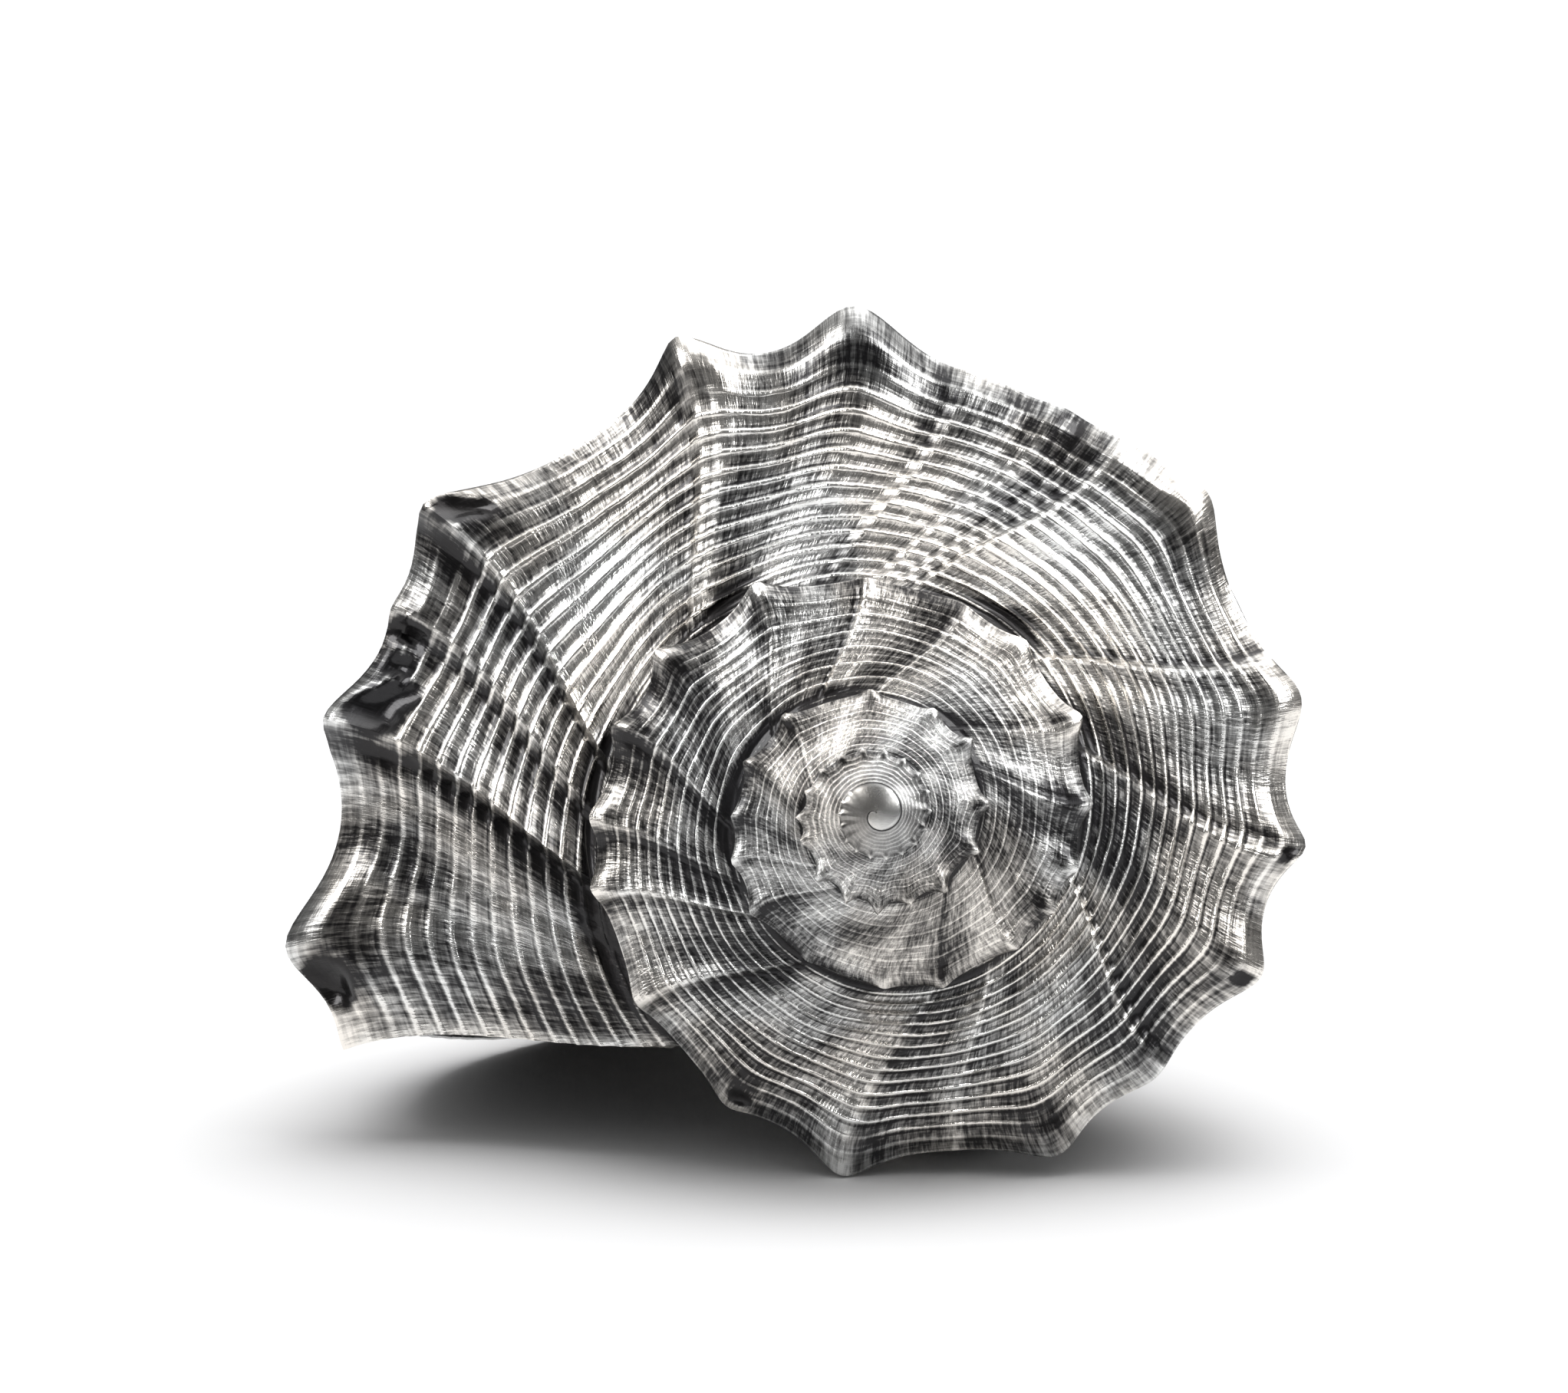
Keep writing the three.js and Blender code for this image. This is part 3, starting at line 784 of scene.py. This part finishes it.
def growthNoise(tree, u, v, often, detail=3.0, low=0.32, high=0.68):
    # noise drawn out along the growth lines or along the cords, spread to run from 0 to 1
    across = compute(tree, "MULTIPLY", u, float(often[0]))
    along = compute(tree, "MULTIPLY", v, float(often[1]))
    vector = addNode(tree, "ShaderNodeCombineXYZ", {"X": across, "Y": along}).outputs[0]
    values = {"Vector": vector, "Scale": 1.0, "Detail": detail, "Roughness": 0.6}
    return remap(tree, addNode(tree, "ShaderNodeTexNoise", values).outputs["Fac"], low, high)


def weighed(tree, base, *parts):
    # base plus each value times its weight
    total = base
    for value, weight in parts:
        total = compute(tree, "MULTIPLY_ADD", value, weight, total)
    return total


def silverPlate():
    material = bpy.data.materials.new("silverPlate")
    material.use_nodes = True
    tree = material.node_tree
    shader = tree.nodes["Principled BSDF"]
    growth = addNode(tree, "ShaderNodeUVMap", uv_map="growth").outputs["UV"]
    split = addNode(tree, "ShaderNodeSeparateXYZ", {"Vector": growth})
    # towards the tip the lines get finer, but less so than the whorls get smaller
    turns, v = split.outputs["X"], split.outputs["Y"]
    grown = compute(tree, "POWER", 2.0, compute(tree, "MULTIPLY", turns, silver["lineGrowth"]))
    u = compute(tree, "DIVIDE", grown, silver["lineGrowth"] * math.log(2))
    patinaAndPaintedLight = addNode(tree, "ShaderNodeAttribute", attribute_name="patinaAndPaintedLight")
    wornAndPaintedLight = addNode(tree, "ShaderNodeSeparateColor", {"Color": patinaAndPaintedLight.outputs["Color"]})
    place = addNode(tree, "ShaderNodeTexCoord").outputs["Object"]

    lines = growthNoise(tree, u, v, silver["growthLines"])
    fine = growthNoise(tree, u, v, silver["fineLines"], 2.0)
    threads = growthNoise(tree, u, v, silver["threads"], 2.0)
    bands = growthNoise(tree, u, v, silver["bands"], 1.0, 0.36, 0.64)
    blotches = {"Vector": place, "Scale": silver["blotchScale"], "Detail": 4.0}
    blotch = addNode(tree, "ShaderNodeTexNoise", blotches).outputs["Fac"]

    # the cords: a bright worn crest, with a line of painted shade beside it on one side
    wavy = weighed(tree, v, (compute(tree, "SUBTRACT", threads, 0.5), 0.05))
    toCrest = compute(tree, "PINGPONG", wavy, 0.5)
    crest = remap(tree, toCrest, *silver["crestEdge"], 1.0, 0.0)
    fromGroove = compute(tree, "SUBTRACT", compute(tree, "FRACT", wavy), silver["grooveAt"])
    groove = remap(tree, compute(tree, "ABSOLUTE", fromGroove), *silver["grooveEdge"], 1.0, 0.0)
    crest = compute(tree, "MULTIPLY", crest, remap(tree, turns, *silver["palerCrests"], 0.45, 1.0))
    crest = compute(tree, "MULTIPLY", crest, patinaAndPaintedLight.outputs["Alpha"])
    groove = compute(tree, "MULTIPLY", groove, patinaAndPaintedLight.outputs["Alpha"])

    # the streaks fade on the smooth first whorls
    streaks = weighed(tree, -0.76, (lines, 0.42), (fine, 0.16), (threads, 0.2), (bands, 0.5), (blotch, 0.24))
    streaks = compute(tree, "MULTIPLY", streaks, remap(tree, turns, *silver["smoothTip"], 0.12, 1.0))
    # the attribute's red is wear and painted highlights, its green mostly painted shade with the tarnish
    # behind the knobs, and its blue the plate's tone with painted light and shade
    tone = weighed(tree, -0.12, (streaks, 1.0), (crest, 0.5), (groove, -0.32), (wornAndPaintedLight.outputs["Red"], 0.55),
                   (wornAndPaintedLight.outputs["Green"], -1.2), (wornAndPaintedLight.outputs["Blue"], 1.0))
    share = compute(tree, "POWER", compute(tree, "MAXIMUM", tone, 0.0), silver["contrast"], clamp=True)
    tint = remap(tree, blotch, 0.4, 0.6)
    hue = mixColours(tree, tint, (*silver["cool"], 1), (*silver["warm"], 1))
    plate = mixColours(tree, share, (*silver["dark"], 1), (*silver["bright"], 1))
    tinted = mixColours(tree, 1.0, plate, hue, "MULTIPLY")
    tree.links.new(tinted, shader.inputs["Base Color"])
    roughness = {"Value": share, "To Min": silver["roughDark"], "To Max": silver["roughBright"]}
    rough = addNode(tree, "ShaderNodeMapRange", roughness)
    tree.links.new(rough.outputs[0], shader.inputs["Roughness"])
    height = weighed(tree, 0.0, (streaks, 1.2), (crest, 0.6))
    relieved = {"Height": height, "Distance": silver["bumpDepth"], "Strength": 1.0}
    bump = addNode(tree, "ShaderNodeBump", relieved)
    tree.links.new(bump.outputs[0], shader.inputs["Normal"])
    shader.inputs["Metallic"].default_value = 1
    shader.inputs["Coat Weight"].default_value = silver["coat"]
    shader.inputs["Coat Roughness"].default_value = silver["coatRoughness"]
    return material


shell.data.materials.clear()
shell.data.materials.append(silverPlate())

view = {
    "apexPixel": (1141, 1059),  # of the picture, where the apex comes
    "imageSize": (2044, 1816),
    "distance": 0.45,
    "metresPerPixel": 0.00007,  # at the apex
    "azimuth": 3.55,
    "elevation": 6.9,
    "sensorWidth": 36,  # in millimetres
}


def placeCamera():
    data = bpy.data.cameras.new("camera")
    width = view["imageSize"][0] * view["metresPerPixel"]
    data.sensor_width = view["sensorWidth"]
    data.lens = view["sensorWidth"] * view["distance"] / width
    azimuth, elevation = math.radians(view["azimuth"]), math.radians(view["elevation"])
    level = math.cos(elevation)
    back = Vector((math.sin(azimuth) * level, -math.cos(azimuth) * level, math.sin(elevation)))
    turn = (-back).to_track_quat("-Z", "Y")
    right, up = turn @ Vector((1, 0, 0)), turn @ Vector((0, 1, 0))
    offX = (view["apexPixel"][0] - view["imageSize"][0] / 2) * view["metresPerPixel"]
    offY = (view["apexPixel"][1] - view["imageSize"][1] / 2) * view["metresPerPixel"]
    apex = Vector(spiral["apex"]) * millimetre
    camera = bpy.data.objects.new("camera", data)
    camera.rotation_mode = "QUATERNION"
    camera.rotation_quaternion = turn
    camera.location = apex + back * view["distance"] - right * offX + up * offY
    bpy.context.collection.objects.link(camera)
    bpy.context.scene.camera = camera


placeCamera()

studio = {
    "floorColour": (0.9, 0.9, 0.905),
    "floorRoughness": 0.9,
    "floorShine": 0.1,
    "floorHalf": 20,  # half the floor's side, in metres
    "backdrop": 1.1,  # what the camera sees behind the shell
    "keyFrom": (0.15, 0.3, 1.0),  # direction of the soft light overhead
    # how narrow and how strong it is, on the floor and as the silver reflects it, and the room round it
    "floorTight": 12.0,
    "silverTight": 8.0,
    "floorKey": 7.1,
    "floorRoom": 0.3,
    "silverKey": 3.6,
    "silverRoom": 0.13,
    # width and depth, power, place, and the point that it faces
    "lights": {
        "left": (0.46, 0.4, 4.8, (-0.57, -0.31, 0.54), (0.0, -0.04, 0.04)),
        "right": (0.42, 0.4, 4.4, (0.48, -0.38, 0.57), (0.0, -0.04, 0.04)),
    },
}


def softSky():
    # white behind the shell, bright overhead and dim at the sides
    world = bpy.data.worlds.new("studio")
    world.use_nodes = True
    tree = world.node_tree
    ray = addNode(tree, "ShaderNodeLightPath")
    direction = addNode(tree, "ShaderNodeTexCoord").outputs["Generated"]
    aim = tuple(Vector(studio["keyFrom"]).normalized())
    facing = addNode(tree, "ShaderNodeVectorMath", {0: direction, 1: aim}, operation="DOT_PRODUCT")
    upward = compute(tree, "MAXIMUM", facing.outputs["Value"], 0.0)
    key = compute(tree, "POWER", upward, studio["floorTight"])
    onFloor = compute(tree, "MULTIPLY_ADD", key, studio["floorKey"], studio["floorRoom"])
    key = compute(tree, "POWER", upward, studio["silverTight"])
    onSilver = compute(tree, "MULTIPLY_ADD", key, studio["silverKey"], studio["silverRoom"])
    reflected = {"Factor": ray.outputs["Is Glossy Ray"], "A": onFloor, "B": onSilver}
    lit = addNode(tree, "ShaderNodeMix", reflected).outputs["Result"]
    seen = {"Factor": ray.outputs["Is Camera Ray"], "A": lit, "B": studio["backdrop"]}
    strength = addNode(tree, "ShaderNodeMix", seen).outputs["Result"]
    background = tree.nodes["Background"]
    background.inputs["Color"].default_value = (1, 1, 1, 1)
    tree.links.new(strength, background.inputs["Strength"])
    bpy.context.scene.world = world


def makeStudio():
    bm = bmesh.new()
    bmesh.ops.create_grid(bm, x_segments=1, y_segments=1, size=studio["floorHalf"])
    mesh = bpy.data.meshes.new("floor")
    bm.to_mesh(mesh)
    bm.free()
    floor = bpy.data.objects.new("floor", mesh)
    bpy.context.collection.objects.link(floor)
    paper = bpy.data.materials.new("paper")
    paper.use_nodes = True
    shader = paper.node_tree.nodes["Principled BSDF"]
    shader.inputs["Base Color"].default_value = (*studio["floorColour"], 1)
    shader.inputs["Roughness"].default_value = studio["floorRoughness"]
    shader.inputs["Specular IOR Level"].default_value = studio["floorShine"]
    mesh.materials.append(paper)
    softSky()
    lit = bpy.data.collections.new("lit")  # the side lights leave the floor's soft shadow alone
    lit.objects.link(shell)
    for name, (width, depth, power, place, facing) in studio["lights"].items():
        data = bpy.data.lights.new(name, "AREA")
        data.shape = "RECTANGLE"
        data.size, data.size_y = width, depth
        data.energy = power
        light = bpy.data.objects.new(name, data)
        light.location = place
        light.rotation_mode = "QUATERNION"
        light.rotation_quaternion = (Vector(facing) - Vector(place)).to_track_quat("-Z", "Y")
        bpy.context.collection.objects.link(light)
        light.light_linking.receiver_collection = lit
    bpy.context.scene.view_settings.view_transform = "Standard"


makeStudio()
